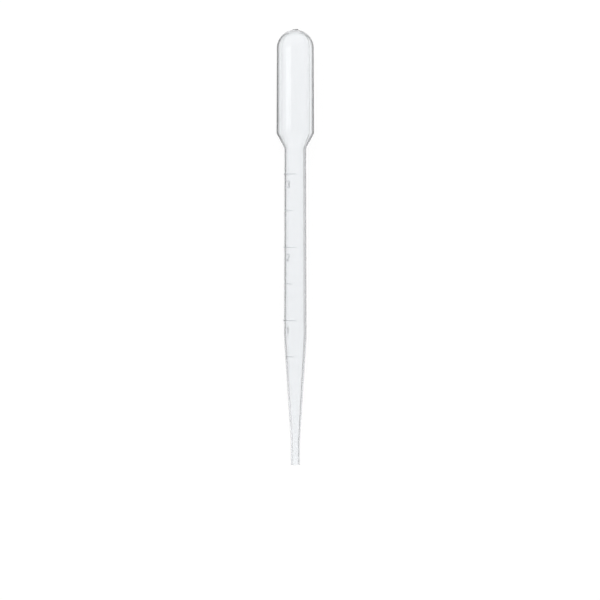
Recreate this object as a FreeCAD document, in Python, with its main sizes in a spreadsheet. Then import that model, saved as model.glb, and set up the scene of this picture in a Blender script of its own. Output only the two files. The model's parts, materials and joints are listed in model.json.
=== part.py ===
"""A plastic dropper pipette: one blow-moulded polyethylene tube with a squeeze bulb and a drawn tip.

The moulding is drawn standing on its tip end, with its axis on Z and its graduation facing -Y.  It is
then laid down as it rests on a table: the bulb towards +Y, the tip towards -Y, touching the table at
the root of the bulb and at the lower end of the stem.  Lengths are in millimetres.
"""
import FreeCAD, Part
import Sketcher
import math
import os

NODE = "pipette"

# Driving dimensions: name, value and what it measures.  Every length runs along the axis, upwards.
SIZES = [
    ("tip_length", 8.2, "straight end piece that the drops leave from"),
    ("taper_length", 37.8, "cone between the tip and the stem"),
    ("stem_length", 66.9, "graduated tube"),
    ("shoulder_length", 5.3, "cone between the stem and the bulb"),
    ("bulb_length", 36.8, "from the shoulder to the crown of the dome"),
    ("tip_diameter", 3.2, "outside"),
    ("stem_lower_diameter", 8.15, "outside, where the taper ends"),
    ("stem_upper_diameter", 7.75, "outside, where the shoulder starts"),
    ("bulb_lower_diameter", 13.35, "outside, where the shoulder ends"),
    ("dome_diameter", 13.0, "outside, of the ball that closes the bulb"),
    ("tip_bore", 2.1, "diameter of the passage in the tip"),
    ("stem_wall", 0.55, "wall of the stem"),
    ("bulb_wall", 0.3, "wall at the bulb's upper end; its bore runs straight down to the shoulder"),
    ("crown_wall", 0.4, "wall at the top, thickened where the parison was pinched shut"),
    ("tip_blend", 12.0, "rounding between tip and taper"),
    ("stem_blend", 12.0, "rounding between taper and stem"),
    ("neck_blend", 2.0, "rounding between stem and shoulder"),
    ("shoulder_blend", 2.4, "rounding between shoulder and bulb"),
    ("seam_width", 0.2, "thickness of the parting line's ridge"),
    ("seam_height", 0.08, "how far the ridge stands out"),
    ("pinch_length", 2.6, "scar on the crown, along the parting line"),
    ("pinch_width", 0.7, "scar, across the parting line"),
    ("pinch_height", 0.2, "how far the scar stands above the crown"),
    ("mark_height", 0.12, "how far graduation lines and numerals stand out"),
    ("line_width", 0.6, "graduation line, along the axis"),
    ("first_line", 38.7, "from the tip end to the half-millilitre line"),
    ("line_pitch", 13.0, "from one half-millilitre line to the next"),
    ("long_line_angle", 96.0, "degrees of the stem that a whole-millilitre line covers"),
    ("short_line_angle", 56.0, "degrees of the stem that a half-millilitre line covers"),
    ("numeral_height", 2.8, "overall"),
    ("numeral_stroke", 0.45, "width of a numeral's strokes"),
    ("numeral_drop", 3.6, "from a whole-millilitre line down to its numeral's centre"),
    ("mark_turn", 40.1, "degrees that the graduation faces away from straight up when lying"),
]
LINE_COUNT = 6
CUT_OVERRUN = 1.0

# Numerals are two stacked bowls, so a bowl's radius is a quarter of their height.  Places are in
# those radii, from the numeral's middle, and angles in degrees from the right, anticlockwise.
STEM_ACROSS = 0.1
FLAG_ACROSS = -0.7
FLAG_UP = 1.2
TWO_STARTS = 165
TWO_ENDS = -40
THREE_STARTS = 150
BOWL_BOTTOM = -90

# A sketch's constraints number the points of a line or arc, its own origin and its vertical axis.
START, END, CENTRE = range(1, 4)
SKETCH_ORIGIN = (-1, START)
SKETCH_AXIS = -2

# Stations along the axis, as expressions on the sheet.
TAPER_START = "Sizes.tip_length"
STEM_START = TAPER_START + " + Sizes.taper_length"
STEM_END = STEM_START + " + Sizes.stem_length"
BULB_START = STEM_END + " + Sizes.shoulder_length"
CROWN = BULB_START + " + Sizes.bulb_length"

X_AXIS = FreeCAD.Vector(1, 0, 0)
Z_AXIS = FreeCAD.Vector(0, 0, 1)
ORIGIN = FreeCAD.Vector(0, 0, 0)
FRONT_PLANE = FreeCAD.Placement(ORIGIN, FreeCAD.Rotation(X_AXIS, 90))

doc = FreeCAD.newDocument("pipette")


def make_sheet():
    """Spreadsheet with one row per driving dimension: name, value, meaning."""
    sheet = doc.addObject("Spreadsheet::Sheet", "Sizes")
    for row, (name, value, meaning) in enumerate(SIZES, start=1):
        sheet.set("A%d" % row, name)
        sheet.set("B%d" % row, str(value))
        sheet.set("C%d" % row, meaning)
        sheet.setAlias("B%d" % row, name)
    doc.recompute()
    return sheet


def value_of(expression):
    """The number that an expression on the sheet gives, in millimetres or degrees."""
    result = sheet.evalExpression(expression)
    return float(getattr(result, "Value", result))


def bind(sketch, name, constraint, expression):
    """Add a dimension to a sketch and tie it to the sheet."""
    index = sketch.addConstraint(constraint)
    sketch.renameConstraint(index, name)
    sketch.setExpression("Constraints." + name, expression)


class Corner:
    """A corner of an outline: its place as expressions, and the rounding that replaces it."""

    def __init__(self, name, radius, station, blend):
        self.name = name
        self.radius = radius
        self.station = station
        self.blend = blend
        self.point = FreeCAD.Vector(value_of(radius), value_of(station), 0)

    def rounding(self, before, after):
        """Centre and tangent points of the rounding, and whether the outline turns left there."""
        arriving = (self.point - before).normalize()
        leaving = (after - self.point).normalize()
        turn = arriving.getAngle(leaving)
        reach = value_of(self.blend) * math.tan(turn / 2)
        start = self.point - arriving * reach
        end = self.point + leaving * reach
        turns_left = arriving.cross(leaving).z > 0
        side = 1 if turns_left else -1
        across = FreeCAD.Vector(-arriving.y, arriving.x, 0) * side
        return start + across * value_of(self.blend), start, end, turns_left


def outline_corners(tip, lower, upper, bulb):
    """The four rounded corners of the tube, given the radius expression at each."""
    return [
        Corner("taper_start", tip, TAPER_START, "Sizes.tip_blend"),
        Corner("stem_start", lower, STEM_START, "Sizes.stem_blend"),
        Corner("stem_end", upper, STEM_END, "Sizes.neck_blend"),
        Corner("bulb_start", bulb, BULB_START, "Sizes.shoulder_blend"),
    ]


def draw_outline(name, corners, foot, dome_radius, crown):
    """Closed half section of a turned form: foot, tip, taper, stem, shoulder, side, dome and axis.

    Straight runs pass through the corners and are joined by tangent arcs.  The dome is an arc about
    a point on the axis.  foot is the height of the flat lower end.
    """
    sketch = doc.addObject("Sketcher::SketchObject", name)
    sketch.Placement = FRONT_PLANE
    tip_radius = corners[0].radius
    foot_height = value_of(foot)
    foot_point = FreeCAD.Vector(corners[0].point.x, foot_height, 0)
    dome = value_of(dome_radius)
    crown_point = FreeCAD.Vector(0, value_of(crown), 0)
    dome_centre = crown_point - FreeCAD.Vector(0, dome, 0)
    side_top = dome_centre + FreeCAD.Vector(dome, 0, 0)

    foot_line = sketch.addGeometry(Part.LineSegment(FreeCAD.Vector(0, foot_height, 0), foot_point))
    sketch.addConstraint(Sketcher.Constraint("PointOnObject", foot_line, START, SKETCH_AXIS))
    sketch.addConstraint(Sketcher.Constraint("Horizontal", foot_line))
    bind(sketch, "foot",
         Sketcher.Constraint("DistanceY", *SKETCH_ORIGIN, foot_line, START, foot_height), foot)
    bind(sketch, "tip",
         Sketcher.Constraint("DistanceX", foot_line, START, foot_line, END, foot_point.x), tip_radius)

    path = [foot_point] + [corner.point for corner in corners] + [side_top]
    run_start = foot_point
    arrived = (foot_line, END)
    joint = "Coincident"
    for corner, before, after in zip(corners, path, path[2:]):
        centre, start, end, turns_left = corner.rounding(before, after)
        line = sketch.addGeometry(Part.LineSegment(run_start, start))
        sketch.addConstraint(Sketcher.Constraint(joint, *arrived, line, START))
        angles = [math.atan2(p.y - centre.y, p.x - centre.x) for p in (start, end)]
        circle = Part.Circle(centre, Z_AXIS, value_of(corner.blend))
        first, second = (START, END) if turns_left else (END, START)
        low, high = (angles[0], angles[1]) if turns_left else (angles[1], angles[0])
        arc = sketch.addGeometry(Part.ArcOfCircle(circle, low, high))
        sketch.addConstraint(Sketcher.Constraint("Tangent", line, END, arc, first))
        bind(sketch, corner.name + "_blend", Sketcher.Constraint("Radius", arc, circle.Radius),
             corner.blend)
        point = sketch.addGeometry(Part.Point(corner.point), True)
        sketch.addConstraint(Sketcher.Constraint("PointOnObject", point, START, line))
        bind(sketch, corner.name + "_out",
             Sketcher.Constraint("DistanceX", *SKETCH_ORIGIN, point, START, corner.point.x),
             corner.radius)
        bind(sketch, corner.name + "_up",
             Sketcher.Constraint("DistanceY", *SKETCH_ORIGIN, point, START, corner.point.y),
             corner.station)
        if corner is not corners[0]:
            sketch.addConstraint(Sketcher.Constraint("PointOnObject", last_point, START, line))
        last_point = point
        arrived = (arc, second)
        run_start = end
        joint = "Tangent"

    side = sketch.addGeometry(Part.LineSegment(run_start, side_top))
    sketch.addConstraint(Sketcher.Constraint("Tangent", *arrived, side, START))
    sketch.addConstraint(Sketcher.Constraint("PointOnObject", last_point, START, side))
    dome_circle = Part.Circle(dome_centre, Z_AXIS, dome)
    dome_arc = sketch.addGeometry(Part.ArcOfCircle(dome_circle, 0, math.pi / 2))
    sketch.addConstraint(Sketcher.Constraint("Tangent", side, END, dome_arc, START))
    sketch.addConstraint(Sketcher.Constraint("PointOnObject", dome_arc, CENTRE, SKETCH_AXIS))
    bind(sketch, "dome", Sketcher.Constraint("Radius", dome_arc, dome), dome_radius)
    axis = sketch.addGeometry(Part.LineSegment(crown_point, FreeCAD.Vector(0, foot_height, 0)))
    sketch.addConstraint(Sketcher.Constraint("Coincident", dome_arc, END, axis, START))
    sketch.addConstraint(Sketcher.Constraint("Coincident", axis, END, foot_line, START))
    sketch.addConstraint(Sketcher.Constraint("PointOnObject", axis, START, SKETCH_AXIS))
    bind(sketch, "crown",
         Sketcher.Constraint("DistanceY", *SKETCH_ORIGIN, axis, START, crown_point.y), crown)
    return sketch


def turned_form(name, grown_by, bore=False):
    """Solid of revolution of the tube's outside, grown by an expression, or of its hollow."""
    if bore:
        corners = outline_corners("Sizes.tip_bore / 2",
                                  "Sizes.stem_lower_diameter / 2 - Sizes.stem_wall",
                                  "Sizes.stem_upper_diameter / 2 - Sizes.stem_wall",
                                  "Sizes.dome_diameter / 2 - Sizes.bulb_wall")
        dome = "Sizes.dome_diameter / 2 - Sizes.bulb_wall"
        crown = CROWN + " - Sizes.crown_wall"
        foot = str(-CUT_OVERRUN)
    else:
        corners = outline_corners("Sizes.tip_diameter / 2 + " + grown_by,
                                  "Sizes.stem_lower_diameter / 2 + " + grown_by,
                                  "Sizes.stem_upper_diameter / 2 + " + grown_by,
                                  "Sizes.bulb_lower_diameter / 2 + " + grown_by)
        dome = "Sizes.dome_diameter / 2 + " + grown_by
        crown = CROWN + " + " + grown_by
        foot = "0"
    form = doc.addObject("Part::Revolution", name)
    form.Source = draw_outline(name + "_outline", corners, foot, dome, crown)
    form.Base = ORIGIN
    form.Axis = Z_AXIS
    form.Angle = 360
    form.Solid = True
    return form


def graduation_line(index):
    """Wedge that cuts one graduation line out of the grown tube; every second one is long."""
    is_long = index % 2 == 1
    angle = "Sizes.long_line_angle" if is_long else "Sizes.short_line_angle"
    wedge = doc.addObject("Part::Cylinder", "line_%d" % (index + 1))
    turn = FreeCAD.Rotation(Z_AXIS, -90 - value_of(angle) / 2)
    wedge.Placement = FreeCAD.Placement(ORIGIN, turn)
    wedge.setExpression("Radius", "Sizes.stem_lower_diameter")
    wedge.setExpression("Height", "Sizes.line_width")
    wedge.setExpression("Angle", angle)
    wedge.setExpression("Placement.Base.z", line_height(index) + " - Sizes.line_width / 2")
    return wedge


def line_height(index):
    """Expression for the height of a graduation line's middle."""
    return "Sizes.first_line + %d * Sizes.line_pitch" % index


def bowl(centre_height, radius, first, last):
    """Arc of a numeral from one angle to another, in degrees, about a point above its middle."""
    points = []
    for angle in (first, (first + last) / 2, last):
        turn = math.radians(angle)
        points.append(FreeCAD.Vector(radius * math.cos(turn),
                                     centre_height + radius * math.sin(turn), 0))
    return Part.Arc(*points).toShape()


def stroke_path(digit, radius):
    """Centre line of a numeral four radii high, about its own middle."""
    if digit == 1:
        flag = FreeCAD.Vector(FLAG_ACROSS, FLAG_UP, 0) * radius
        top = FreeCAD.Vector(STEM_ACROSS, 2, 0) * radius
        foot = FreeCAD.Vector(STEM_ACROSS, -2, 0) * radius
        edges = [Part.makeLine(flag, top), Part.makeLine(top, foot)]
    elif digit == 2:
        curve = bowl(radius, radius, TWO_STARTS, TWO_ENDS)
        left = FreeCAD.Vector(-1, -2, 0) * radius
        right = FreeCAD.Vector(1, -2, 0) * radius
        edges = [curve, Part.makeLine(curve.Vertexes[-1].Point, left), Part.makeLine(left, right)]
    else:
        edges = [bowl(radius, radius, THREE_STARTS, BOWL_BOTTOM),
                 bowl(-radius, radius, -BOWL_BOTTOM, -THREE_STARTS)]
    return Part.Wire(edges)


def numeral(digit):
    """Prism that cuts one numeral out of the grown tube, below its whole-millilitre line."""
    stroke = value_of("Sizes.numeral_stroke")
    radius = (value_of("Sizes.numeral_height") - stroke) / 4
    face = stroke_path(digit, radius).makeOffset2D(stroke / 2, fill=True)
    height = value_of(line_height(2 * digit - 1) + " - Sizes.numeral_drop")
    standing = FreeCAD.Placement(FreeCAD.Vector(0, 0, height), FRONT_PLANE.Rotation)
    face.transformShape(standing.toMatrix(), True)
    prism = doc.addObject("Part::Feature", "numeral_%d" % digit)
    prism.Shape = face.extrude(FreeCAD.Vector(0, -value_of("Sizes.stem_lower_diameter"), 0))
    return prism


def raised_marks():
    """Graduation lines and numerals, standing out of the tube by the same height everywhere."""
    stamps = doc.addObject("Part::MultiFuse", "stamps")
    lines = [graduation_line(index) for index in range(LINE_COUNT)]
    numerals = [numeral(digit) for digit in range(1, LINE_COUNT // 2 + 1)]
    stamps.Shapes = lines + numerals
    marks = doc.addObject("Part::Common", "raised_marks")
    marks.Base = turned_form("mark_skin", "Sizes.mark_height")
    marks.Tool = stamps
    return marks


def seam_ridges():
    """Parting-line ridge up one side, over the crown and down the other."""
    slab = doc.addObject("Part::Box", "seam_slab")
    slab.setExpression("Length", "2 * Sizes.bulb_lower_diameter")
    slab.setExpression("Width", "Sizes.seam_width")
    slab.setExpression("Height", CROWN + " + Sizes.bulb_lower_diameter")
    slab.setExpression("Placement.Base.x", "-Sizes.bulb_lower_diameter")
    slab.setExpression("Placement.Base.y", "-Sizes.seam_width / 2")
    ridges = doc.addObject("Part::Common", "seam_ridges")
    ridges.Base = turned_form("seam_skin", "Sizes.seam_height")
    ridges.Tool = slab
    return ridges


def pinch_scar():
    """Short round-topped bar on the crown, where the mould pinched the parison shut."""
    scar = doc.addObject("Part::Cylinder", "pinch_scar")
    scar.Placement = FreeCAD.Placement(ORIGIN, FreeCAD.Rotation(FreeCAD.Vector(0, 1, 0), 90))
    scar.setExpression("Radius", "Sizes.pinch_width / 2")
    scar.setExpression("Height", "Sizes.pinch_length")
    scar.setExpression("Placement.Base.x", "-Sizes.pinch_length / 2")
    scar.setExpression("Placement.Base.z",
                       CROWN + " + Sizes.pinch_height - Sizes.pinch_width / 2")
    return scar


def moulding():
    """The whole tube: outside form with everything that stands out of it, hollowed by the bore."""
    solid = doc.addObject("Part::MultiFuse", "solid_form")
    solid.Shapes = [turned_form("outer_form", "0"), raised_marks(), seam_ridges(), pinch_scar()]
    tube = doc.addObject("Part::Cut", NODE)
    tube.Base = solid
    tube.Tool = turned_form("hollow", "0", bore=True)
    tube.Label = NODE
    return tube


def resting_tilt():
    """Degrees between the axis and the table, touching under the stem's foot and the bulb's root.

    The table is the common tangent of the two roundings there.
    """
    corners = outline_corners("Sizes.tip_diameter / 2", "Sizes.stem_lower_diameter / 2",
                              "Sizes.stem_upper_diameter / 2", "Sizes.bulb_lower_diameter / 2")
    dome_root = FreeCAD.Vector(value_of("Sizes.dome_diameter / 2"),
                               value_of(CROWN + " - Sizes.dome_diameter / 2"), 0)
    points = [corner.point for corner in corners] + [dome_root]
    stem = corners[1].rounding(points[0], points[2])[0]
    bulb = corners[3].rounding(points[2], points[4])[0]
    span = bulb - stem
    growth = value_of("Sizes.shoulder_blend - Sizes.stem_blend")
    return math.degrees(math.atan2(span.x, span.y) + math.asin(growth / span.Length))


def lay_down(tube):
    """Place the tube lying on the table, with the origin under the middle of its bounding box."""
    turn = FreeCAD.Rotation(Z_AXIS, -value_of("Sizes.mark_turn"))
    lie = FreeCAD.Rotation(X_AXIS, resting_tilt() - 90)
    tube.Placement = FreeCAD.Placement(ORIGIN, lie * turn)
    box = tube.Shape.optimalBoundingBox(False, False)
    middle = FreeCAD.Vector(-box.Center.x, -box.Center.y, -box.ZMin)
    tube.Placement = FreeCAD.Placement(middle, lie * turn)


def check(tube):
    """Stop if any object failed, the solid isn't whole or the hollow wasn't cut."""
    for obj in doc.Objects:
        if "Invalid" in obj.State or "Error" in obj.State:
            raise RuntimeError("%s failed: %s" % (obj.Name, obj.State))
    shape = tube.Shape
    if shape.isNull() or not shape.isValid() or len(shape.Solids) != 1:
        raise RuntimeError("the tube is not one valid solid")
    if shape.Volume > 0.5 * tube.Base.Shape.Volume:
        raise RuntimeError("the hollow was not cut")


sheet = make_sheet()
pipette = moulding()
doc.recompute()
lay_down(pipette)
doc.recompute()
check(pipette)
os.makedirs("parts", exist_ok=True)
pipette.Shape.exportStep("parts/%s.step" % pipette.Label)
box = pipette.Shape.optimalBoundingBox(False, False)
print("%s: %.2f x %.2f x %.2f mm, %.1f mm3, tilt %.3f degrees"
      % (pipette.Label, box.XLength, box.YLength, box.ZLength, pipette.Shape.Volume, resting_tilt()))
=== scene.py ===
"""Dresses a plastic dropper pipette: one blow-moulded tube of natural low-density polyethylene.

The tube is turned from its half section, standing on its tip with the axis on Z and the graduation
facing -Y.  Raised marks are wrapped round it and fused to it, and the moulding is then laid down as
it rests on a table, in the frame's own place.
"""
import json
import math

import bmesh
import bpy
from bpy.props import FloatProperty, FloatVectorProperty, IntProperty, PointerProperty
from bpy.types import Operator, Panel, PropertyGroup
from mathutils import Matrix, Vector


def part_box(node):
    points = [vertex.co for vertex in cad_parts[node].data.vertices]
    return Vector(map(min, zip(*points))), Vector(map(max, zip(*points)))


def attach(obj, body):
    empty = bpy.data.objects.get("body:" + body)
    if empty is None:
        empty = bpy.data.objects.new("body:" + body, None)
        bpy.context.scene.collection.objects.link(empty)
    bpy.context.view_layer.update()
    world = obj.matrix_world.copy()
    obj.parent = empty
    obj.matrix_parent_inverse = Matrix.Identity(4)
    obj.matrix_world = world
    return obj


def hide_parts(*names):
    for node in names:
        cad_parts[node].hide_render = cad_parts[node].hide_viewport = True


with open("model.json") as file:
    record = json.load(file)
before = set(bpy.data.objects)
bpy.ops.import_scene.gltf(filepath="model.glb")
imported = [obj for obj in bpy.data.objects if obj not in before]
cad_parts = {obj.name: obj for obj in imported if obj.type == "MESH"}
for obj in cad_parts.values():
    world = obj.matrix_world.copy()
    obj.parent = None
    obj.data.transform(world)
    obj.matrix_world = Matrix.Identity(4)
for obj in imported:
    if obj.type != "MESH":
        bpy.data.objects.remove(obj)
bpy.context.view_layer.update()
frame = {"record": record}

bl_info = {
    "name": "Dropper Pipette",
    "version": (1, 0, 0),
    "blender": (4, 5, 0),
    "location": "View3D > Sidebar > Pipette",
    "description": "Makes a blow-moulded dropper pipette with a graduated stem, and its studio",
    "category": "Object",
}

NODE = "pipette"
MM = 0.001
WELD = 0.001 * MM  # points of the tube closer than this are one
BEAD_WELD = 0.002 * MM
BEAD_STEP = 0.1 * MM  # length of a bead's mesh rows
FOOT_COLUMNS = 4  # mesh columns on each side of the parting line's ridge
WIDEST_FOOT = 0.3  # radians that a side of the ridge may cover where the tube closes
NOISE_LOW, NOISE_HIGH = 0.3, 0.7  # what a noise texture mostly keeps between


# Sizes and finish --------------------------------------------------------------------------------

def millimetres(name, size, description):
    """A length property whose default is given in millimetres."""
    return FloatProperty(name=name, description=description, default=size * MM, min=0.0,
                         precision=5, unit="LENGTH", subtype="DISTANCE")


def degrees(name, angle, description):
    """An angle property whose default is given in degrees."""
    return FloatProperty(name=name, description=description, default=math.radians(angle),
                         subtype="ANGLE", unit="ROTATION")


def linear_rgba(hex_code):
    """An sRGB hex colour as the linear values that shaders take."""
    channels = [int(hex_code[i:i + 2], 16) / 255 for i in (1, 3, 5)]
    linear = [c / 12.92 if c <= 0.04045 else ((c + 0.055) / 1.055) ** 2.4 for c in channels]
    return (*linear, 1.0)


def colour(name, hex_code, description):
    """A colour property whose default is an sRGB hex value."""
    return FloatVectorProperty(name=name, description=description, default=linear_rgba(hex_code),
                               size=4, min=0.0, max=1.0, subtype="COLOR")


class TubeSizes(PropertyGroup):
    """Sizes of the tube, along its axis from the tip end up, and across it."""
    tip_length: millimetres("Tip Length", 8.2, "Straight end piece that the drops leave from")
    taper_length: millimetres("Taper Length", 37.8, "Cone between the tip and the stem")
    stem_length: millimetres("Stem Length", 66.9, "Graduated tube")
    shoulder_length: millimetres("Shoulder Length", 5.3, "Cone between the stem and the bulb")
    bulb_length: millimetres("Bulb Length", 36.8, "From the shoulder to the crown of the dome")
    tip_diameter: millimetres("Tip Diameter", 3.2, "Outside")
    stem_lower_diameter: millimetres("Stem Lower Diameter", 8.15, "Outside, where the taper ends")
    stem_upper_diameter: millimetres("Stem Upper Diameter", 7.75, "Outside, below the shoulder")
    bulb_lower_diameter: millimetres("Bulb Lower Diameter", 13.35, "Outside, above the shoulder")
    dome_diameter: millimetres("Dome Diameter", 13.0, "Outside, of the ball that closes the bulb")
    tip_bore: millimetres("Tip Bore", 2.1, "Diameter of the passage in the tip")
    stem_wall: millimetres("Stem Wall", 0.55, "Wall of the stem")
    bulb_wall: millimetres("Bulb Wall", 0.3, "Wall at the bulb's upper end")
    crown_wall: millimetres("Crown Wall", 0.4, "Wall at the crown, where the parison was pinched")
    taper_rounding: millimetres("Taper Rounding", 12.0, "At both ends of the taper")
    neck_rounding: millimetres("Neck Rounding", 2.0, "Between the stem and the shoulder")
    shoulder_rounding: millimetres("Shoulder Rounding", 2.4, "Between the shoulder and the bulb")
    rim_rounding: millimetres("Rim Rounding", 0.06, "Edges of the square-cut tip")
    seam_width: millimetres("Seam Width", 0.2, "Foot of the parting line's ridge")
    seam_height: millimetres("Seam Height", 0.08, "How far the ridge stands out")
    bulb_seam_share: FloatProperty(name="Bulb Seam Share", default=0.3, min=0.0, max=1.0,
                                   description="Share of that left on the bulb by the blowing")
    row_pitch: millimetres("Row Pitch", 1.2, "Longest mesh row along a straight run")
    columns: IntProperty(name="Columns", default=128, min=16,
                         description="Mesh columns in a full turn")
    rounding_steps: IntProperty(name="Rounding Steps", default=7, min=2,
                                description="Mesh rows in each rounding")
    dome_steps: IntProperty(name="Dome Steps", default=22, min=4,
                            description="Mesh rows in the dome")


class MarkSizes(PropertyGroup):
    """Sizes of what stands out of the tube: graduation lines, numerals and the crown's scar."""
    first_line: millimetres("First Line", 38.7, "From the tip end to the half-millilitre line")
    line_pitch: millimetres("Line Pitch", 13.0, "From one half-millilitre line to the next")
    line_count: IntProperty(name="Lines", default=6, min=1, description="Half-millilitre steps")
    long_line: degrees("Long Line", 96.0, "Part of the stem that a whole-millilitre line covers")
    short_line: degrees("Short Line", 56.0, "Part of the stem that a half-millilitre line covers")
    line_width: millimetres("Line Width", 0.6, "Graduation line, along the axis")
    mark_height: millimetres("Mark Height", 0.12, "How far lines and numerals stand out")
    edge_radius: millimetres("Edge Radius", 0.05, "Rounding along lines and numerals")
    numeral_height: millimetres("Numeral Height", 2.8, "Overall")
    numeral_stroke: millimetres("Numeral Stroke", 0.45, "Width of a numeral's strokes")
    numeral_drop: millimetres("Numeral Drop", 3.6, "From a line down to its numeral's middle")
    scar_length: millimetres("Scar Length", 2.6, "Pinch scar on the crown, along the parting line")
    scar_width: millimetres("Scar Width", 0.7, "Pinch scar, across the parting line")
    scar_height: millimetres("Scar Height", 0.2, "How far the scar stands above the crown")
    mark_turn: degrees("Mark Turn", 40.1, "Graduation's turn away from straight up when lying")


def plain(name, number, description, **settings):
    """A plain number property that isn't negative."""
    return FloatProperty(name=name, description=description, default=number, min=0.0, precision=4,
                         **settings)


class Finish(PropertyGroup):
    """The plastic's look."""
    body: colour("Body Colour", "#FCFDFE", "Natural polyethylene, with nothing added")
    depth: colour("Depth Colour", "#BAC0C6", "What light takes on along a way through the wall")
    density: plain("Density", 120.0, "How strongly the wall absorbs, per metre")
    refraction: plain("Refraction", 1.51, "Index of low-density polyethylene")
    clearness: plain("Clearness", 0.96, "Share of light that enters the wall", max=1.0)
    # Painted shade: this dark grey and the five numbers after it darken the base colour towards the
    # outline, where the wall is seen aslant, and on the tip's cut rim.
    aslant: colour("Aslant Colour", "#202428", "What is left of light that crosses the wall aslant")
    painted_edge_shade: plain("Haze", 0.25, "How much of that shows", max=1.0)
    edge_shade_start: plain("Haze Start", 0.45, "Slant, 0 to 1, at which it begins", max=1.0)
    edge_shade_full: plain("Haze Full", 0.62, "Slant, 0 to 1, at which all of it shows", max=1.0)
    rim_shade_start: plain("Rim Haze Start", 0.15, "Slant at which the tip's cut rim begins", max=1.0)
    rim_depth: millimetres("Rim Depth", 0.118, "How far up from the tip's end the rim's haze goes")
    roughness: plain("Roughness", 0.09, "Satin of the blown skin", max=1.0)
    satin_spread: plain("Satin Spread", 0.15, "Share by which waves of the wall change it", max=1.0)
    wave_size: millimetres("Wave Size", 5.0, "Waves of the wall, round the tube")
    wave_squash: plain("Wave Squash", 0.55, "Their size round the tube, as a share of their length")
    streak_size: millimetres("Streak Size", 0.9, "Noise that makes the die's streaks")
    streak_gap: millimetres("Streak Gap", 0.5, "From one streak to the next")
    streak_run: millimetres("Streak Run", 60.0, "How far a streak holds its line along the tube")
    streak_depth: millimetres("Streak Depth", 0.004, "Height of the streaks")
    streak_strength: plain("Streak Strength", 0.2, "How much of that height shows", max=1.0)
    # Painted shade: grey base colour of the raised graduation, so that its lines read darker.
    painted_mark_shade: colour("Mark Colour", "#CFD3D7", "What is left of light through the graduation")
    mark_roughness: plain("Mark Roughness", 0.5, "Matt of the graduation", max=1.0)


class Studio(PropertyGroup):
    """Table, lights and camera."""
    table_size: millimetres("Table Size", 1600.0, "Side of the white table")
    shadow_share: plain("Shadow Share", 0.08, "Share of its white that takes a shadow", max=1.0)
    flag_gap: millimetres("Flag Gap", 7.7, "From the pipette's middle to the grey flags beside it")
    flag_lift: millimetres("Flag Lift", 0.1, "Flags above the table")
    card_gap: millimetres("Card Gap", 16.0, "From the pipette's middle to the light cards")
    card_lift: millimetres("Card Lift", 0.2, "Light cards above the table, and so over the flags")
    card_size: millimetres("Card Size", 500.0, "Side of each flag and card")
    left_flag: colour("Left Flag", "#8C8C8C", "Matt grey")
    right_flag: colour("Right Flag", "#A0A0A0", "Matt grey")
    left_card: colour("Left Card", "#E0E0E0", "Matt light grey")
    right_card: colour("Right Card", "#FFFFFF", "Matt white")
    camera_height: millimetres("Camera Height", 900.0, "Above the middle of the pipette")
    view_width: millimetres("View Width", 213.4, "Width of the picture at the pipette")
    aim_right: millimetres("Aim Right", 1.68, "Camera's place right of the pipette's middle")
    aim_down: millimetres("Aim Down", 18.7, "Camera's place below the pipette's middle")
    strip_lean: degrees("Softbox Lean", 42.0, "Softbox's angle from straight above, to the left")
    strip_distance: millimetres("Softbox Distance", 500.0, "From the pipette")
    strip_width: millimetres("Softbox Width", 300.0, "Across the pipette")
    strip_length: millimetres("Softbox Length", 110.0, "Along the pipette")
    strip_along: millimetres("Softbox Place", 95.0, "Towards the bulb from the pipette's middle")
    strip_power: plain("Softbox Power", 0.2, "Light that the softbox gives off", unit="POWER")
    overhead: plain("Overhead", 1.2, "World's strength from above")
    horizon: plain("Horizon", 0.8, "World's strength at the horizon")
    dark_rise: plain("Dark Rise", 0.3, "Height, as a sine, where the overhead white is reached")
    far_light: plain("Far Light", 1.5, "How many times stronger the world is beyond the bulb")
    far_start: plain("Far Start", 0.25, "Sine of the way towards the bulb where that begins")
    far_full: plain("Far Full", 0.75, "Sine of the way towards the bulb where it is reached")


# Node trees --------------------------------------------------------------------------------------

def add_node(tree, kind, links=None, **settings):
    """Add a node with its settings.  links maps an input to a value, a socket or a node."""
    node = tree.nodes.new(kind)
    for name, value in settings.items():
        setattr(node, name, value)
    for key, value in (links or {}).items():
        socket = node.inputs[key]
        if isinstance(value, bpy.types.Node):
            value = next(output for output in value.outputs if output.enabled)
        if isinstance(value, bpy.types.NodeSocket):
            tree.links.new(value, socket)
        else:
            socket.default_value = value
    return node


def maths(tree, operation, *values):
    """Add a Math node on the given values, sockets or nodes."""
    return add_node(tree, "ShaderNodeMath", dict(enumerate(values)), operation=operation)


def empty_tree(owner):
    """The shader tree of a material or a world, with nothing in it."""
    owner.use_nodes = True
    owner.node_tree.nodes.clear()
    return owner.node_tree


def new_tree(name, inputs):
    """A Geometry Nodes tree with geometry in and out and named inputs; gives it and its input."""
    tree = bpy.data.node_groups.new(name, "GeometryNodeTree")
    tree.interface.new_socket("Geometry", in_out="OUTPUT", socket_type="NodeSocketGeometry")
    tree.interface.new_socket("Geometry", in_out="INPUT", socket_type="NodeSocketGeometry")
    for label, kind in inputs:
        tree.interface.new_socket(label, in_out="INPUT", socket_type="NodeSocket" + kind)
    return tree, add_node(tree, "NodeGroupInput")


def as_mesh(source, name, tree, values):
    """Run a tree on an object with the given input values; gives the result as a plain object."""
    modifier = source.modifiers.new(tree.name, "NODES")
    modifier.node_group = tree
    for item in tree.interface.items_tree:
        if item.in_out == "INPUT" and item.name in values:
            modifier[item.identifier] = values[item.name]
    depsgraph = bpy.context.evaluated_depsgraph_get()
    mesh = bpy.data.meshes.new_from_object(source.evaluated_get(depsgraph))
    mesh.name = name
    bpy.data.objects.remove(source)
    made = bpy.data.objects.new(name, mesh)
    bpy.context.collection.objects.link(made)
    return made


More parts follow.
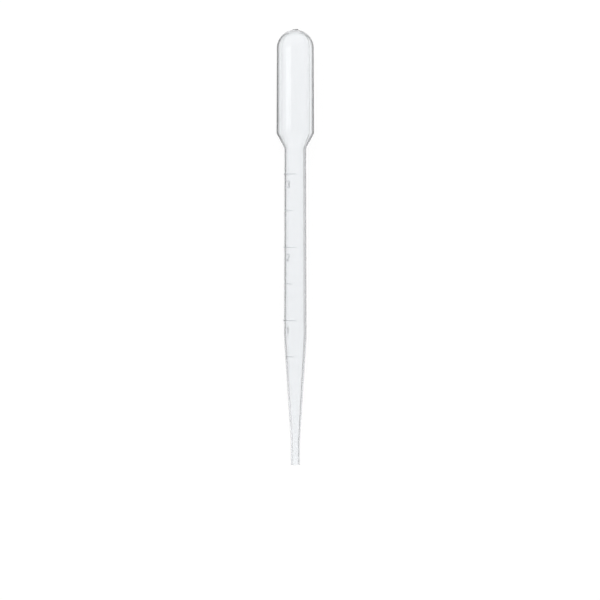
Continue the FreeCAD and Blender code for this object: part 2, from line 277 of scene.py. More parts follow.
def tube_tree():
    """Turns a half section into a tube, with a ridge along each side where the mould parts.

    The section is a chain of edges in the XZ plane.  Its points carry "rounding", the radius of the
    arc that replaces them, "steps", the rows of that arc, and "ridge", the share of its height at
    which the ridge stands.
    """
    tree, given = new_tree("Blown Tube", [
        ("Row Pitch", "Float"), ("Columns", "Int"), ("Seam Width", "Float"),
        ("Seam Height", "Float"), ("Fade Radius", "Float"), ("Material", "Material")])
    chain = add_node(tree, "GeometryNodeMeshToCurve", {"Mesh": given.outputs["Geometry"]})
    rounding = add_node(tree, "GeometryNodeInputNamedAttribute", {"Name": "rounding"})
    steps = add_node(tree, "GeometryNodeInputNamedAttribute", {"Name": "steps"})
    rounded = add_node(tree, "GeometryNodeFilletCurve",
                       {"Curve": chain, "Radius": rounding, "Count": steps, "Limit Radius": True},
                       mode="POLY")

    # Straight runs get a row every Row Pitch.
    index = add_node(tree, "GeometryNodeInputIndex")
    place = add_node(tree, "GeometryNodeInputPosition")
    following = maths(tree, "ADD", index, 1.0)
    next_place = add_node(tree, "GeometryNodeFieldAtIndex", {"Value": place, "Index": following},
                          data_type="FLOAT_VECTOR")
    run = add_node(tree, "ShaderNodeVectorMath", {0: place, 1: next_place}, operation="DISTANCE")
    cuts = maths(tree, "DIVIDE", run.outputs["Value"], given.outputs["Row Pitch"])
    section = add_node(tree, "GeometryNodeSubdivideCurve", {"Curve": rounded, "Cuts": cuts})

    # A grid has one row for each point of the section and one column more than the turn needs.
    size = add_node(tree, "GeometryNodeAttributeDomainSize", {"Geometry": section},
                    component="CURVE")
    across = maths(tree, "ADD", given.outputs["Columns"], 1.0)
    grid = add_node(tree, "GeometryNodeMeshGrid",
                    {"Vertices X": size.outputs["Point Count"], "Vertices Y": across})
    middle = maths(tree, "ADD", index, 0.5)
    rows = maths(tree, "DIVIDE", middle, across)
    row = maths(tree, "FLOOR", rows)
    before = maths(tree, "MULTIPLY", row, across)
    column = maths(tree, "SUBTRACT", index, before)

    # Place, direction and ridge of the row's point on the section.
    ridge = add_node(tree, "GeometryNodeInputNamedAttribute", {"Name": "ridge"})
    tangent = add_node(tree, "GeometryNodeInputTangent")
    row_place = add_node(tree, "GeometryNodeSampleIndex",
                         {"Geometry": section, "Value": place, "Index": row},
                         data_type="FLOAT_VECTOR")
    row_tangent = add_node(tree, "GeometryNodeSampleIndex",
                           {"Geometry": section, "Value": tangent, "Index": row},
                           data_type="FLOAT_VECTOR")
    row_ridge = add_node(tree, "GeometryNodeSampleIndex",
                         {"Geometry": section, "Value": ridge, "Index": row})
    at = add_node(tree, "ShaderNodeSeparateXYZ", {"Vector": row_place})
    along = add_node(tree, "ShaderNodeSeparateXYZ", {"Vector": row_tangent})

    # Columns crowd on the two ridges, which keep their width in millimetres at every radius.
    half_turn = maths(tree, "DIVIDE", column, given.outputs["Columns"])
    halves = maths(tree, "MULTIPLY", half_turn, 2.0)
    second = maths(tree, "FLOOR", halves)
    share = maths(tree, "FRACT", halves)
    edge = maths(tree, "DIVIDE", 2.0 * FOOT_COLUMNS, given.outputs["Columns"])
    far_edge = maths(tree, "SUBTRACT", 1.0, edge)
    off_first = add_node(tree, "ShaderNodeMapRange", {"Value": share, "From Max": edge})
    between = add_node(tree, "ShaderNodeMapRange",
                       {"Value": share, "From Min": edge, "From Max": far_edge})
    on_second = add_node(tree, "ShaderNodeMapRange", {"Value": share, "From Min": far_edge})
    foot = maths(tree, "MULTIPLY", given.outputs["Seam Width"], 0.5)
    wide = maths(tree, "DIVIDE", foot, at.outputs["X"])
    foot_angle = maths(tree, "MINIMUM", wide, WIDEST_FOOT)
    both_feet = maths(tree, "MULTIPLY", foot_angle, 2.0)
    clear = maths(tree, "SUBTRACT", math.pi, both_feet)
    feet = maths(tree, "ADD", off_first, on_second)
    in_feet = maths(tree, "MULTIPLY", feet, foot_angle)
    angle_in_half = maths(tree, "MULTIPLY_ADD", between, clear, in_feet)
    angle = maths(tree, "MULTIPLY_ADD", second, math.pi, angle_in_half)

    # The ridge is rounded across, and dies away towards the middle of the crown.
    off_ridge = maths(tree, "SUBTRACT", off_first, on_second)
    squared = maths(tree, "POWER", off_ridge, 2.0)
    bulge = maths(tree, "SUBTRACT", 1.0, squared)
    fade = add_node(tree, "ShaderNodeMapRange",
                    {"Value": at.outputs["X"], "From Max": given.outputs["Fade Radius"]})
    standing = maths(tree, "MULTIPLY", bulge, fade)
    ridged = maths(tree, "MULTIPLY", standing, row_ridge)
    raised = maths(tree, "MULTIPLY", ridged, given.outputs["Seam Height"])
    outwards = maths(tree, "MULTIPLY", along.outputs["Z"], -1.0)
    radius = maths(tree, "MULTIPLY_ADD", outwards, raised, at.outputs["X"])
    height = maths(tree, "MULTIPLY_ADD", along.outputs["X"], raised, at.outputs["Z"])
    cosine = maths(tree, "COSINE", angle)
    sine = maths(tree, "SINE", angle)
    x = maths(tree, "MULTIPLY", radius, cosine)
    y = maths(tree, "MULTIPLY", radius, sine)
    turned = add_node(tree, "ShaderNodeCombineXYZ", {"X": x, "Y": y, "Z": height})
    tube = add_node(tree, "GeometryNodeSetPosition",
                    {"Geometry": grid.outputs["Mesh"], "Position": turned})
    closed = add_node(tree, "GeometryNodeMergeByDistance", {"Geometry": tube, "Distance": WELD})
    whole = add_node(tree, "GeometryNodeRealizeInstances", {"Geometry": closed})
    dressed = add_node(tree, "GeometryNodeSetMaterial",
                       {"Geometry": whole, "Material": given.outputs["Material"]})
    add_node(tree, "NodeGroupOutput", {"Geometry": dressed})
    return tree


def bead_tree():
    """Turns flat strokes into beads with round ends: half of each bead stands above the plane.

    Strokes are edges in the XY plane.  The bead's section is a block with rounded edges.
    """
    tree, given = new_tree("Bead", [("Width", "Float"), ("Height", "Float"),
                                    ("Edge Radius", "Float"), ("Fineness", "Float")])
    strokes = add_node(tree, "GeometryNodeMeshToCurve", {"Mesh": given.outputs["Geometry"]})
    even = add_node(tree, "GeometryNodeResampleCurve",
                    {"Curve": strokes, "Length": given.outputs["Fineness"]}, mode="LENGTH")
    upright = add_node(tree, "GeometryNodeSetCurveNormal", {"Curve": even}, mode="Z_UP")
    passed = add_node(tree, "GeometryNodeSplineParameter")
    total = add_node(tree, "GeometryNodeSplineLength")
    ahead = maths(tree, "SUBTRACT", total.outputs["Length"], passed.outputs["Length"])
    nearest = maths(tree, "MINIMUM", passed.outputs["Length"], ahead)
    half_width = maths(tree, "MULTIPLY", given.outputs["Width"], 0.5)
    short_of_full = add_node(tree, "ShaderNodeMapRange",
                             {"Value": nearest, "From Max": half_width,
                              "To Min": 1.0, "To Max": 0.0})
    lost = maths(tree, "POWER", short_of_full, 2.0)
    left = maths(tree, "SUBTRACT", 1.0, lost)
    girth = maths(tree, "SQRT", left)
    both = maths(tree, "MULTIPLY", given.outputs["Height"], 2.0)
    block = add_node(tree, "GeometryNodeCurvePrimitiveQuadrilateral",
                     {"Width": both, "Height": given.outputs["Width"]})
    section = add_node(tree, "GeometryNodeFilletCurve",
                       {"Curve": block, "Radius": given.outputs["Edge Radius"], "Count": 3,
                        "Limit Radius": True}, mode="POLY")
    bead = add_node(tree, "GeometryNodeCurveToMesh",
                    {"Curve": upright, "Profile Curve": section, "Scale": girth, "Fill Caps": True})
    closed = add_node(tree, "GeometryNodeMergeByDistance",
                      {"Geometry": bead, "Distance": BEAD_WELD})
    add_node(tree, "NodeGroupOutput", {"Geometry": closed})
    return tree


def graduation_tree():
    """Graduation lines and numerals, made flat as raised beads and then bent round the tube.

    The numerals' strokes come in as edges in the XY plane, X across the tube and Y up it.
    """
    tree, given = new_tree("Graduation", [
        ("First Line", "Float"), ("Line Pitch", "Float"), ("Line Count", "Int"),
        ("Long Line", "Float"), ("Short Line", "Float"), ("Line Width", "Float"),
        ("Numeral Stroke", "Float"), ("Mark Height", "Float"), ("Edge Radius", "Float"),
        ("Fineness", "Float"),
        ("Tip Length", "Float"), ("Taper Length", "Float"), ("Stem Length", "Float"),
        ("Tip Diameter", "Float"), ("Stem Lower Diameter", "Float"),
        ("Stem Upper Diameter", "Float"), ("Material", "Material")])
    place = add_node(tree, "GeometryNodeInputPosition")
    at = add_node(tree, "ShaderNodeSeparateXYZ", {"Vector": place})
    stem_start = maths(tree, "ADD", given.outputs["Tip Length"], given.outputs["Taper Length"])
    stem_end = maths(tree, "ADD", stem_start, given.outputs["Stem Length"])
    taper = add_node(tree, "ShaderNodeMapRange",
                     {"Value": at.outputs["Y"], "From Min": given.outputs["Tip Length"],
                      "From Max": stem_start, "To Min": given.outputs["Tip Diameter"],
                      "To Max": given.outputs["Stem Lower Diameter"]})
    stem = add_node(tree, "ShaderNodeMapRange",
                    {"Value": at.outputs["Y"], "From Min": stem_start, "From Max": stem_end,
                     "To Min": given.outputs["Stem Lower Diameter"],
                     "To Max": given.outputs["Stem Upper Diameter"]})
    diameter = maths(tree, "MINIMUM", taper, stem)
    radius = maths(tree, "MULTIPLY", diameter, 0.5)

    # One line for each half millilitre; every second one is long.
    start = add_node(tree, "ShaderNodeCombineXYZ", {"Y": given.outputs["First Line"]})
    step = add_node(tree, "ShaderNodeCombineXYZ", {"Y": given.outputs["Line Pitch"]})
    ladder = add_node(tree, "GeometryNodeMeshLine",
                      {"Count": given.outputs["Line Count"],
                       "Start Location": start, "Offset": step})
    index = add_node(tree, "GeometryNodeInputIndex")
    parity = maths(tree, "MODULO", index, 2.0)
    angle = add_node(tree, "GeometryNodeSwitch",
                     {"Switch": parity, "False": given.outputs["Short Line"],
                      "True": given.outputs["Long Line"]}, input_type="FLOAT")
    length = maths(tree, "MULTIPLY", angle, radius)
    stretch = add_node(tree, "ShaderNodeCombineXYZ", {"X": length, "Y": 1.0, "Z": 1.0})
    stroke = add_node(tree, "GeometryNodeMeshLine",
                      {"Count": 2, "Start Location": (-0.5, 0.0, 0.0), "Offset": (1.0, 0.0, 0.0)})
    lines = add_node(tree, "GeometryNodeInstanceOnPoints",
                     {"Points": ladder, "Instance": stroke, "Scale": stretch})
    flat_lines = add_node(tree, "GeometryNodeRealizeInstances", {"Geometry": lines})

    bead = bead_tree()
    line_beads = add_node(tree, "GeometryNodeGroup", node_tree=bead)
    numeral_beads = add_node(tree, "GeometryNodeGroup", node_tree=bead)
    for beads, strokes, width in (
            (line_beads, flat_lines.outputs["Geometry"], "Line Width"),
            (numeral_beads, given.outputs["Geometry"], "Numeral Stroke")):
        tree.links.new(strokes, beads.inputs["Geometry"])
        tree.links.new(given.outputs[width], beads.inputs["Width"])
        tree.links.new(given.outputs["Mark Height"], beads.inputs["Height"])
        tree.links.new(given.outputs["Edge Radius"], beads.inputs["Edge Radius"])
        tree.links.new(given.outputs["Fineness"], beads.inputs["Fineness"])
    relief = add_node(tree, "GeometryNodeJoinGeometry", {"Geometry": line_beads})
    tree.links.new(numeral_beads.outputs[0], relief.inputs["Geometry"])

    # Bend: X becomes an angle about the axis from the tube's front, Z stands out of it.
    turn = maths(tree, "DIVIDE", at.outputs["X"], radius)
    reach = maths(tree, "ADD", radius, at.outputs["Z"])
    sine = maths(tree, "SINE", turn)
    cosine = maths(tree, "COSINE", turn)
    x = maths(tree, "MULTIPLY", reach, sine)
    forward = maths(tree, "MULTIPLY", reach, cosine)
    y = maths(tree, "MULTIPLY", forward, -1.0)
    bent = add_node(tree, "ShaderNodeCombineXYZ", {"X": x, "Y": y, "Z": at.outputs["Y"]})
    wrapped = add_node(tree, "GeometryNodeSetPosition", {"Geometry": relief, "Position": bent})
    # The raised attribute makes the graduation matt in the material and gives it a grey base colour,
    # painted shade.
    matt = add_node(tree, "GeometryNodeStoreNamedAttribute",
                    {"Geometry": wrapped, "Name": "raised", "Value": 1.0})
    whole = add_node(tree, "GeometryNodeRealizeInstances", {"Geometry": matt})
    dressed = add_node(tree, "GeometryNodeSetMaterial",
                       {"Geometry": whole, "Material": given.outputs["Material"]})
    add_node(tree, "NodeGroupOutput", {"Geometry": dressed})
    return tree


# Material ----------------------------------------------------------------------------------------

def natural_polyethylene(finish):
    """Natural low-density polyethylene, blow-moulded.

    Nearly colourless and milky, because its crystals scatter light: what lies behind shows blurred.
    The tube is greyer where the eye looks along its wall and on the tip's cut rim: painted shade, a
    dark grey mixed into the base colour by the slant.  The blown skin is a soft satin.  The die left
    fine streaks along the tube, and the wall runs slightly uneven.
    """
    material = bpy.data.materials.new("natural_ldpe_blow_moulded")
    tree = empty_tree(material)
    tip, outward = tip_end()
    tilt = math.asin(-outward.z)
    place = add_node(tree, "ShaderNodeTexCoord")
    moved = add_node(tree, "ShaderNodeVectorMath", {0: place.outputs["Object"], 1: tip},
                     operation="SUBTRACT")
    standing = add_node(tree, "ShaderNodeMapping",
                        {"Vector": moved, "Rotation": (math.pi / 2 - tilt, 0.0, 0.0)})
    streak_scale = add_node(tree, "ShaderNodeVectorMath",
                            {0: standing, 1: (1.0, 1.0, finish.streak_gap / finish.streak_run)},
                            operation="MULTIPLY")
    streaks = add_node(tree, "ShaderNodeTexNoise",
                       {"Vector": streak_scale, "Scale": 1 / finish.streak_size, "Detail": 2.0})
    wave_scale = add_node(tree, "ShaderNodeVectorMath",
                          {0: standing, 1: (1.0, 1.0, finish.wave_squash)}, operation="MULTIPLY")
    waves = add_node(tree, "ShaderNodeTexNoise",
                     {"Vector": wave_scale, "Scale": 1 / finish.wave_size, "Detail": 1.0})
    bump = add_node(tree, "ShaderNodeBump",
                    {"Height": streaks.outputs["Fac"], "Strength": finish.streak_strength,
                     "Distance": finish.streak_depth})
    satin = add_node(tree, "ShaderNodeMapRange",
                     {"Value": waves.outputs["Fac"], "From Min": NOISE_LOW, "From Max": NOISE_HIGH,
                      "To Min": finish.roughness * (1 - finish.satin_spread),
                      "To Max": finish.roughness * (1 + finish.satin_spread)})
    # The graduation was etched into the mould, so it comes out matt.
    raised = add_node(tree, "ShaderNodeAttribute", attribute_name="raised")
    skin = add_node(tree, "ShaderNodeMapRange",
                    {"Value": raised.outputs["Fac"],
                     "To Min": satin, "To Max": finish.mark_roughness})
    # Painted shade: the base colour turns dark grey towards the outline, where the wall is seen
    # aslant, and the whole of it on the tip's cut rim.
    height = add_node(tree, "ShaderNodeSeparateXYZ", {0: standing})
    off_rim = add_node(tree, "ShaderNodeMapRange",
                       {"Value": height.outputs["Z"], "From Min": 0.95 * finish.rim_depth,
                        "From Max": finish.rim_depth})
    start = add_node(tree, "ShaderNodeMapRange",
                     {"Value": off_rim, "To Min": finish.rim_shade_start,
                      "To Max": finish.edge_shade_start})
    most = add_node(tree, "ShaderNodeMapRange",
                    {"Value": off_rim, "To Min": 1.0, "To Max": finish.painted_edge_shade})
    aslant = add_node(tree, "ShaderNodeLayerWeight", {"Blend": 0.5})
    painted_edge_shade = add_node(tree, "ShaderNodeMapRange",
                    {"Value": aslant.outputs["Facing"], "From Min": start,
                     "From Max": finish.edge_shade_full, "To Max": most}, interpolation_type="SMOOTHSTEP")
    edge_shaded_body = add_node(tree, "ShaderNodeMix", {0: painted_edge_shade, 6: finish.body, 7: finish.aslant},
                    data_type="RGBA")
    # Painted shade: the raised graduation takes a grey base colour.
    shade = add_node(tree, "ShaderNodeMix",
                     {0: raised.outputs["Fac"], 6: edge_shaded_body.outputs[2], 7: finish.painted_mark_shade},
                     data_type="RGBA")
    shader = add_node(tree, "ShaderNodeBsdfPrincipled",
                      {"Base Color": shade.outputs[2], "Roughness": skin, "IOR": finish.refraction,
                       "Transmission Weight": finish.clearness, "Normal": bump})
    depth = add_node(tree, "ShaderNodeVolumeAbsorption",
                     {"Color": finish.depth, "Density": finish.density})
    add_node(tree, "ShaderNodeOutputMaterial", {"Surface": shader, "Volume": depth})
    return material


def light_table(studio):
    """Opal acrylic lit evenly from below, with a share lit from above that keeps the shadow."""
    material = bpy.data.materials.new("opal_acrylic_light_table")
    tree = empty_tree(material)
    white = linear_rgba("#FFFFFF")
    path = add_node(tree, "ShaderNodeLightPath")
    matt = add_node(tree, "ShaderNodeBsdfDiffuse", {"Color": white})
    glow = add_node(tree, "ShaderNodeEmission", {"Color": white, "Strength": 1.0})
    blended = add_node(tree, "ShaderNodeMixShader", {0: studio.shadow_share, 1: glow, 2: matt})
    gloss = maths(tree, "MAXIMUM", path.outputs["Is Camera Ray"], path.outputs["Is Glossy Ray"])
    through = maths(tree, "MAXIMUM", gloss, path.outputs["Is Transmission Ray"])
    chosen = add_node(tree, "ShaderNodeMixShader", {0: through, 1: matt, 2: blended})
    add_node(tree, "ShaderNodeOutputMaterial", {"Surface": chosen})
    return material


# Shapes ------------------------------------------------------------------------------------------

def tip_end():
    """Middle of the tip's end and the direction it points in, from the frame's outer tip mount."""
    mount = next(m for m in frame["record"]["mounts"] if m["name"] == "tip_outside")
    outward = Vector(mount["axis"])
    return Vector(mount["pos_m"]) + outward * (mount["dims"]["length_mm"] / 2 * MM), outward


def stations(sizes):
    """Heights of the tube's corners above the tip end: taper, stem, shoulder, bulb and crown."""
    heights = []
    height = 0.0
    for length in (sizes.tip_length, sizes.taper_length, sizes.stem_length, sizes.shoulder_length,
                   sizes.bulb_length):
        height += length
        heights.append(height)
    return heights


def section_corners(sizes):
    """Corners of the half section, from the crown down the outside and up the hollow.

    Each is radius, height, rounding, rows in the rounding, and the share of its height at which the
    parting line stands.
    """
    taper, stem, shoulder, bulb, crown = stations(sizes)
    few = sizes.rounding_steps
    dome = sizes.dome_diameter / 2
    hollow = dome - sizes.bulb_wall
    ceiling = crown - sizes.crown_wall
    flat = sizes.bulb_seam_share
    outside = [
        (0.0, crown, 0.0, 0, flat),
        (dome, crown, dome, sizes.dome_steps, flat),
        (sizes.bulb_lower_diameter / 2, bulb, sizes.shoulder_rounding, few, flat),
        (sizes.stem_upper_diameter / 2, shoulder, sizes.neck_rounding, few, 1),
        (sizes.stem_lower_diameter / 2, stem, sizes.taper_rounding, few, 1),
        (sizes.tip_diameter / 2, taper, sizes.taper_rounding, few, 1),
        (sizes.tip_diameter / 2, sizes.seam_width, sizes.rim_rounding, 1, 1),
        (sizes.tip_diameter / 2, 0.0, sizes.rim_rounding, 3, 0),
    ]
    inside = [
        (sizes.tip_bore / 2, 0.0, sizes.rim_rounding, 3, 0),
        (sizes.tip_bore / 2, taper, sizes.taper_rounding, few, 0),
        (sizes.stem_lower_diameter / 2 - sizes.stem_wall, stem, sizes.taper_rounding, few, 0),
        (sizes.stem_upper_diameter / 2 - sizes.stem_wall, shoulder, sizes.neck_rounding, few, 0),
        (hollow, bulb, sizes.shoulder_rounding, few, 0),
        (hollow, ceiling, hollow, sizes.dome_steps, 0),
        (0.0, ceiling, 0.0, 0, 0),
    ]
    return outside + inside


def arc(middle, radius, first, last, steps=14):
    """Points on an arc, angles in degrees from the right, anticlockwise."""
    turns = [math.radians(first + (last - first) * step / steps) for step in range(steps + 1)]
    return [middle + Vector((radius * math.cos(t), radius * math.sin(t))) for t in turns]


def numeral_strokes(digit, middle, size):
    """Centre lines of a plain numeral, from two stacked bowls; size is a quarter of its height."""
    up = Vector((0.0, size))
    if digit == 1:
        top = middle + Vector((0.1 * size, 2 * size))
        return [[middle + Vector((-0.7 * size, 1.2 * size)), top], [top, top - 4 * up]]
    if digit == 2:
        curve = arc(middle + up, size, 165, -40)
        left = middle + Vector((-size, -2 * size))
        return [curve + [left], [left, left + Vector((2 * size, 0.0))]]
    return [arc(middle + up, size, 150, -90), arc(middle - up, size, 90, -150)]


def chain_object(name, chains, attributes=()):
    """Object of plain edges through each chain's points, with one float attribute for each name."""
    mesh = bpy.data.meshes.new(name)
    points = [point for chain in chains for point in chain]
    edges = []
    first = 0
    for chain in chains:
        edges += [(first + i, first + i + 1) for i in range(len(chain) - 1)]
        first += len(chain)
    mesh.from_pydata(points, edges, [])
    for label, values in attributes:
        mesh.attributes.new(label, "FLOAT", "POINT").data.foreach_set("value", values)
    made = bpy.data.objects.new(name, mesh)
    bpy.context.collection.objects.link(made)
    return made


def finish_shape(piece):
    """Smooth shading that keeps edges sharper than 40 degrees."""
    piece.data.polygons.foreach_set("use_smooth", [True] * len(piece.data.polygons))
    piece.data.set_sharp_from_angle(angle=math.radians(40))
    piece.data.update()


def piece_named(name):
    """The object of that name, which an earlier step must have made."""
    piece = bpy.data.objects.get(name)
    if piece is None:
        raise RuntimeError("%s has to be made first" % name)
    return piece


# Operators ---------------------------------------------------------------------------------------

class PIPETTE_OT_tube(Operator):
    """Turn the tube with its bulb, hollow and parting line"""
    bl_idname = "pipette.tube"
    bl_label = "Blown Tube"

    def execute(self, context):
        sizes = context.scene.pipette_sizes
        corners = section_corners(sizes)
        section = chain_object("tube_section", [[(r, 0.0, h) for r, h, _, _, _ in corners]], [
            ("rounding", [corner[2] for corner in corners]),
            ("steps", [float(corner[3]) for corner in corners]),
            ("ridge", [float(corner[4]) for corner in corners])])
        tube = as_mesh(section, "tube", tube_tree(), {
            "Row Pitch": sizes.row_pitch, "Columns": sizes.columns, "Seam Width": sizes.seam_width,
            "Seam Height": sizes.seam_height, "Fade Radius": sizes.tip_diameter / 2,
            "Material": natural_polyethylene(context.scene.pipette_finish)})
        if not tube.data.polygons:
            raise RuntimeError("the tube has no faces")
        return {"FINISHED"}


class PIPETTE_OT_marks(Operator):
    """Raise the graduation lines and numerals"""
    bl_idname = "pipette.marks"
    bl_label = "Raised Marks"

    def execute(self, context):
        sizes = context.scene.pipette_sizes
        marks = context.scene.pipette_marks
        material = piece_named("tube").data.materials[0]
        size = (marks.numeral_height - marks.numeral_stroke) / 4
        strokes = []
        for digit in range(1, marks.line_count // 2 + 1):
            height = marks.first_line + (2 * digit - 1) * marks.line_pitch - marks.numeral_drop
            strokes += numeral_strokes(digit, Vector((0.0, height)), size)
        flat = chain_object("numeral_strokes", [[p.to_3d() for p in stroke] for stroke in strokes])
        graduation = as_mesh(flat, "graduation", graduation_tree(), {
            "First Line": marks.first_line, "Line Pitch": marks.line_pitch,
            "Line Count": marks.line_count, "Long Line": marks.long_line,
            "Short Line": marks.short_line, "Line Width": marks.line_width,
            "Numeral Stroke": marks.numeral_stroke, "Mark Height": marks.mark_height,
            "Edge Radius": marks.edge_radius, "Fineness": BEAD_STEP,
            "Tip Length": sizes.tip_length, "Taper Length": sizes.taper_length,
            "Stem Length": sizes.stem_length, "Tip Diameter": sizes.tip_diameter,
            "Stem Lower Diameter": sizes.stem_lower_diameter,
            "Stem Upper Diameter": sizes.stem_upper_diameter, "Material": material})
        if not graduation.data.polygons:
            raise RuntimeError("the graduation has no faces")
        return {"FINISHED"}


class PIPETTE_OT_scar(Operator):
    """Make the pinch scar on the crown"""
    bl_idname = "pipette.scar"
    bl_label = "Pinch Scar"

    def execute(self, context):
        sizes = context.scene.pipette_sizes
        marks = context.scene.pipette_marks
        half = Vector((marks.scar_length / 2, 0.0, 0.0))
        flat = chain_object("scar_stroke", [[-half, half]])
        scar = as_mesh(flat, "pinch_scar", bead_tree(), {
            "Width": marks.scar_width, "Height": marks.scar_width / 2,
            "Edge Radius": marks.scar_width / 2, "Fineness": BEAD_STEP})
        crown = stations(sizes)[-1]
        middle = crown + marks.scar_height - marks.scar_width / 2
        scar.data.transform(Matrix.Translation((0.0, 0.0, middle)))
        return {"FINISHED"}


class PIPETTE_OT_moulding(Operator):
    """Fuse everything that stands out to the tube, and lay the moulding on the table"""
    bl_idname = "pipette.moulding"
    bl_label = "One Moulding"

    def execute(self, context):
        tube = piece_named("tube")
        raised = [piece_named(name) for name in ("graduation", "pinch_scar")]
        for piece in raised:
            fusing = tube.modifiers.new(piece.name, "BOOLEAN")
            fusing.operation = "UNION"
            fusing.solver = "MANIFOLD"
            fusing.object = piece
        depsgraph = context.evaluated_depsgraph_get()
        mesh = bpy.data.meshes.new_from_object(tube.evaluated_get(depsgraph))
        if len(mesh.polygons) <= len(tube.data.polygons):
            raise RuntimeError("the marks were not fused to the tube")
        plastic = next(material for material in tube.data.materials if material)
        mesh.materials.clear()
        mesh.materials.append(plastic)
        mesh.polygons.foreach_set("material_index", [0] * len(mesh.polygons))
        for piece in [tube] + raised:
            bpy.data.objects.remove(piece)
        tip, outward = tip_end()
        lie = Matrix.Rotation(math.asin(-outward.z) - math.pi / 2, 4, "X")
        turn = Matrix.Rotation(-context.scene.pipette_marks.mark_turn, 4, "Z")
        mesh.transform(Matrix.Translation(tip) @ lie @ turn)
        # Slivers that the fusing leaves are closed up.
        welded = bmesh.new()
        welded.from_mesh(mesh)
        bmesh.ops.dissolve_degenerate(welded, dist=WELD, edges=welded.edges)
        welded.to_mesh(mesh)
        welded.free()
        moulding = bpy.data.objects.new("moulding", mesh)
        mesh.name = "moulding"
        context.collection.objects.link(moulding)
        finish_shape(moulding)
        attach(moulding, "root")
        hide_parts(NODE)
        return {"FINISHED"}


class PIPETTE_OT_stage(Operator):
    """Lay the white table, hang the lights and aim the camera"""
    bl_idname = "pipette.stage"
    bl_label = "Studio"

    def execute(self, context):
        studio = context.scene.pipette_studio
        low, high = (Vector(corner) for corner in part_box(NODE))
        middle = (low + high) / 2
        table = sheet("table", studio.table_size, middle.to_2d().to_3d(), light_table(studio))
        for name, edge, lift, shade in (
                ("left_flag", -studio.flag_gap, studio.flag_lift, studio.left_flag),
                ("right_flag", studio.flag_gap, studio.flag_lift, studio.right_flag),
                ("left_card", -studio.card_gap, studio.card_lift, studio.left_card),
                ("right_card", studio.card_gap, studio.card_lift, studio.right_card)):
            side_card(name, studio.card_size, edge, lift, shade)
        strip_light("left_softbox", studio)
        white_room(context.scene, studio)

        lens = bpy.data.cameras.new("camera")
        lens.lens = lens.sensor_width * studio.camera_height / studio.view_width
        lens.clip_start = studio.camera_height / 100
        camera = bpy.data.objects.new("camera", lens)
        camera.location = (middle.x + studio.aim_right, middle.y - studio.aim_down,
                           middle.z + studio.camera_height)
        context.collection.objects.link(camera)
        context.scene.camera = camera
        context.scene.view_settings.view_transform = "Standard"
        return {"FINISHED"}


def sheet(name, size, middle, material):
    """Square flat sheet facing up."""
    half = size / 2
    mesh = bpy.data.meshes.new(name)
    corners = [(-half, -half), (half, -half), (half, half), (-half, half)]
    points = [(middle.x + x, middle.y + y, middle.z) for x, y in corners]
    mesh.from_pydata(points, [], [(0, 1, 2, 3)])
    mesh.materials.append(material)
    made = bpy.data.objects.new(name, mesh)
    bpy.context.collection.objects.link(made)
    return made


def strip_light(name, studio):
    """Long softbox beside the camera, on the left, level with the pipette's length."""
    light = bpy.data.lights.new(name, "AREA")
    light.shape = "RECTANGLE"
    light.size = studio.strip_width
    light.size_y = studio.strip_length
    light.energy = studio.strip_power
    lamp = bpy.data.objects.new(name, light)
    away = Vector((-math.sin(studio.strip_lean), 0.0, math.cos(studio.strip_lean)))
    lamp.location = away * studio.strip_distance + Vector((0.0, studio.strip_along, 0.0))
    lamp.rotation_euler = (0.0, -studio.strip_lean, 0.0)
    lamp.visible_transmission = False
    bpy.context.collection.objects.link(lamp)


def white_room(scene, studio):
    """World light: white overhead, darker towards the horizon and stronger beyond the bulb."""
    world = bpy.data.worlds.new("white_room")
    scene.world = world
    tree = empty_tree(world)
    white = linear_rgba("#FFFFFF")
    direction = add_node(tree, "ShaderNodeTexCoord")
    parts = add_node(tree, "ShaderNodeSeparateXYZ", {"Vector": direction.outputs["Generated"]})
    level = add_node(tree, "ShaderNodeMapRange",
                     {"Value": parts.outputs["Z"], "From Max": studio.dark_rise,
                      "To Min": studio.horizon, "To Max": studio.overhead},
                     interpolation_type="SMOOTHSTEP")
    beyond = add_node(tree, "ShaderNodeMapRange",
                      {"Value": parts.outputs["Y"], "From Min": studio.far_start,
                       "From Max": studio.far_full, "To Min": 1.0, "To Max": studio.far_light},
                      interpolation_type="SMOOTHSTEP")
    strength = maths(tree, "MULTIPLY", level, beyond)
    background = add_node(tree, "ShaderNodeBackground", {"Color": white, "Strength": strength})
    seen = add_node(tree, "ShaderNodeBackground", {"Color": white, "Strength": 1.0})
    path = add_node(tree, "ShaderNodeLightPath")
    chosen = add_node(tree, "ShaderNodeMixShader",
                      {0: path.outputs["Is Camera Ray"], 1: background, 2: seen})
    add_node(tree, "ShaderNodeOutputWorld", {"Surface": chosen})


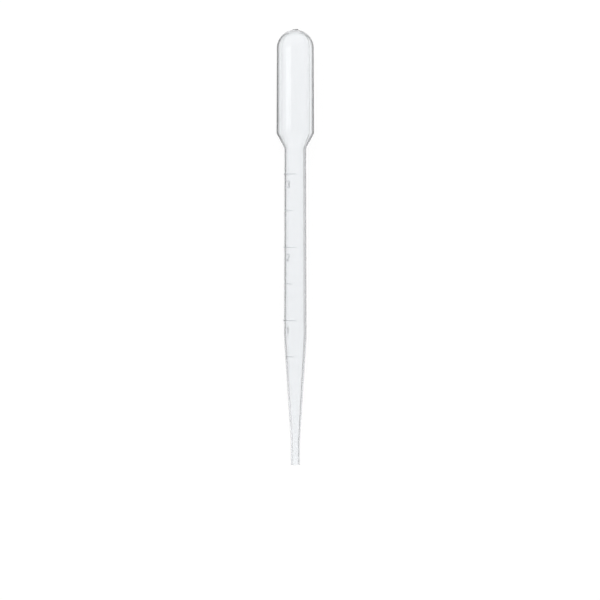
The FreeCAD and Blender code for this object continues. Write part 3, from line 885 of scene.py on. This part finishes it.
def side_card(name, size, edge, lift, shade):
    """Matt card lying beside the pipette, outwards from an edge left (minus) or right of it.

    Gloss and clear plastic see it and the eye doesn't.
    """
    material = bpy.data.materials.new("matt_card_" + name)
    tree = empty_tree(material)
    matt = add_node(tree, "ShaderNodeBsdfDiffuse", {"Color": shade})
    add_node(tree, "ShaderNodeOutputMaterial", {"Surface": matt})
    middle = Vector((edge + math.copysign(size / 2, edge), 0.0, lift))
    card = sheet(name, size, middle, material)
    card.visible_camera = card.visible_diffuse = card.visible_shadow = False


class PIPETTE_PT_panel(Panel):
    """Steps that make the pipette, with their sizes"""
    bl_idname = "PIPETTE_PT_panel"
    bl_label = "Dropper Pipette"
    bl_space_type = "VIEW_3D"
    bl_region_type = "UI"
    bl_category = "Pipette"

    def draw(self, context):
        for operator in STEPS:
            self.layout.operator(operator.bl_idname)
        for group in (context.scene.pipette_sizes, context.scene.pipette_marks,
                      context.scene.pipette_finish, context.scene.pipette_studio):
            box = self.layout.box()
            for name in group.bl_rna.properties.keys():
                if name not in {"rna_type", "name"}:
                    box.prop(group, name)


STEPS = (PIPETTE_OT_tube, PIPETTE_OT_marks, PIPETTE_OT_scar, PIPETTE_OT_moulding, PIPETTE_OT_stage)
GROUPS = {"pipette_sizes": TubeSizes, "pipette_marks": MarkSizes, "pipette_finish": Finish,
          "pipette_studio": Studio}


def register():
    for cls in (*GROUPS.values(), *STEPS, PIPETTE_PT_panel):
        bpy.utils.register_class(cls)
    for name, group in GROUPS.items():
        setattr(bpy.types.Scene, name, PointerProperty(type=group))


def unregister():
    for name in GROUPS:
        delattr(bpy.types.Scene, name)
    for cls in (PIPETTE_PT_panel, *reversed(STEPS), *reversed(GROUPS.values())):
        bpy.utils.unregister_class(cls)


def main():
    """Make the pipette and its studio."""
    register()
    bpy.ops.pipette.tube()
    bpy.ops.pipette.marks()
    bpy.ops.pipette.scar()
    bpy.ops.pipette.moulding()
    bpy.ops.pipette.stage()


if __name__ == "__main__":
    main()
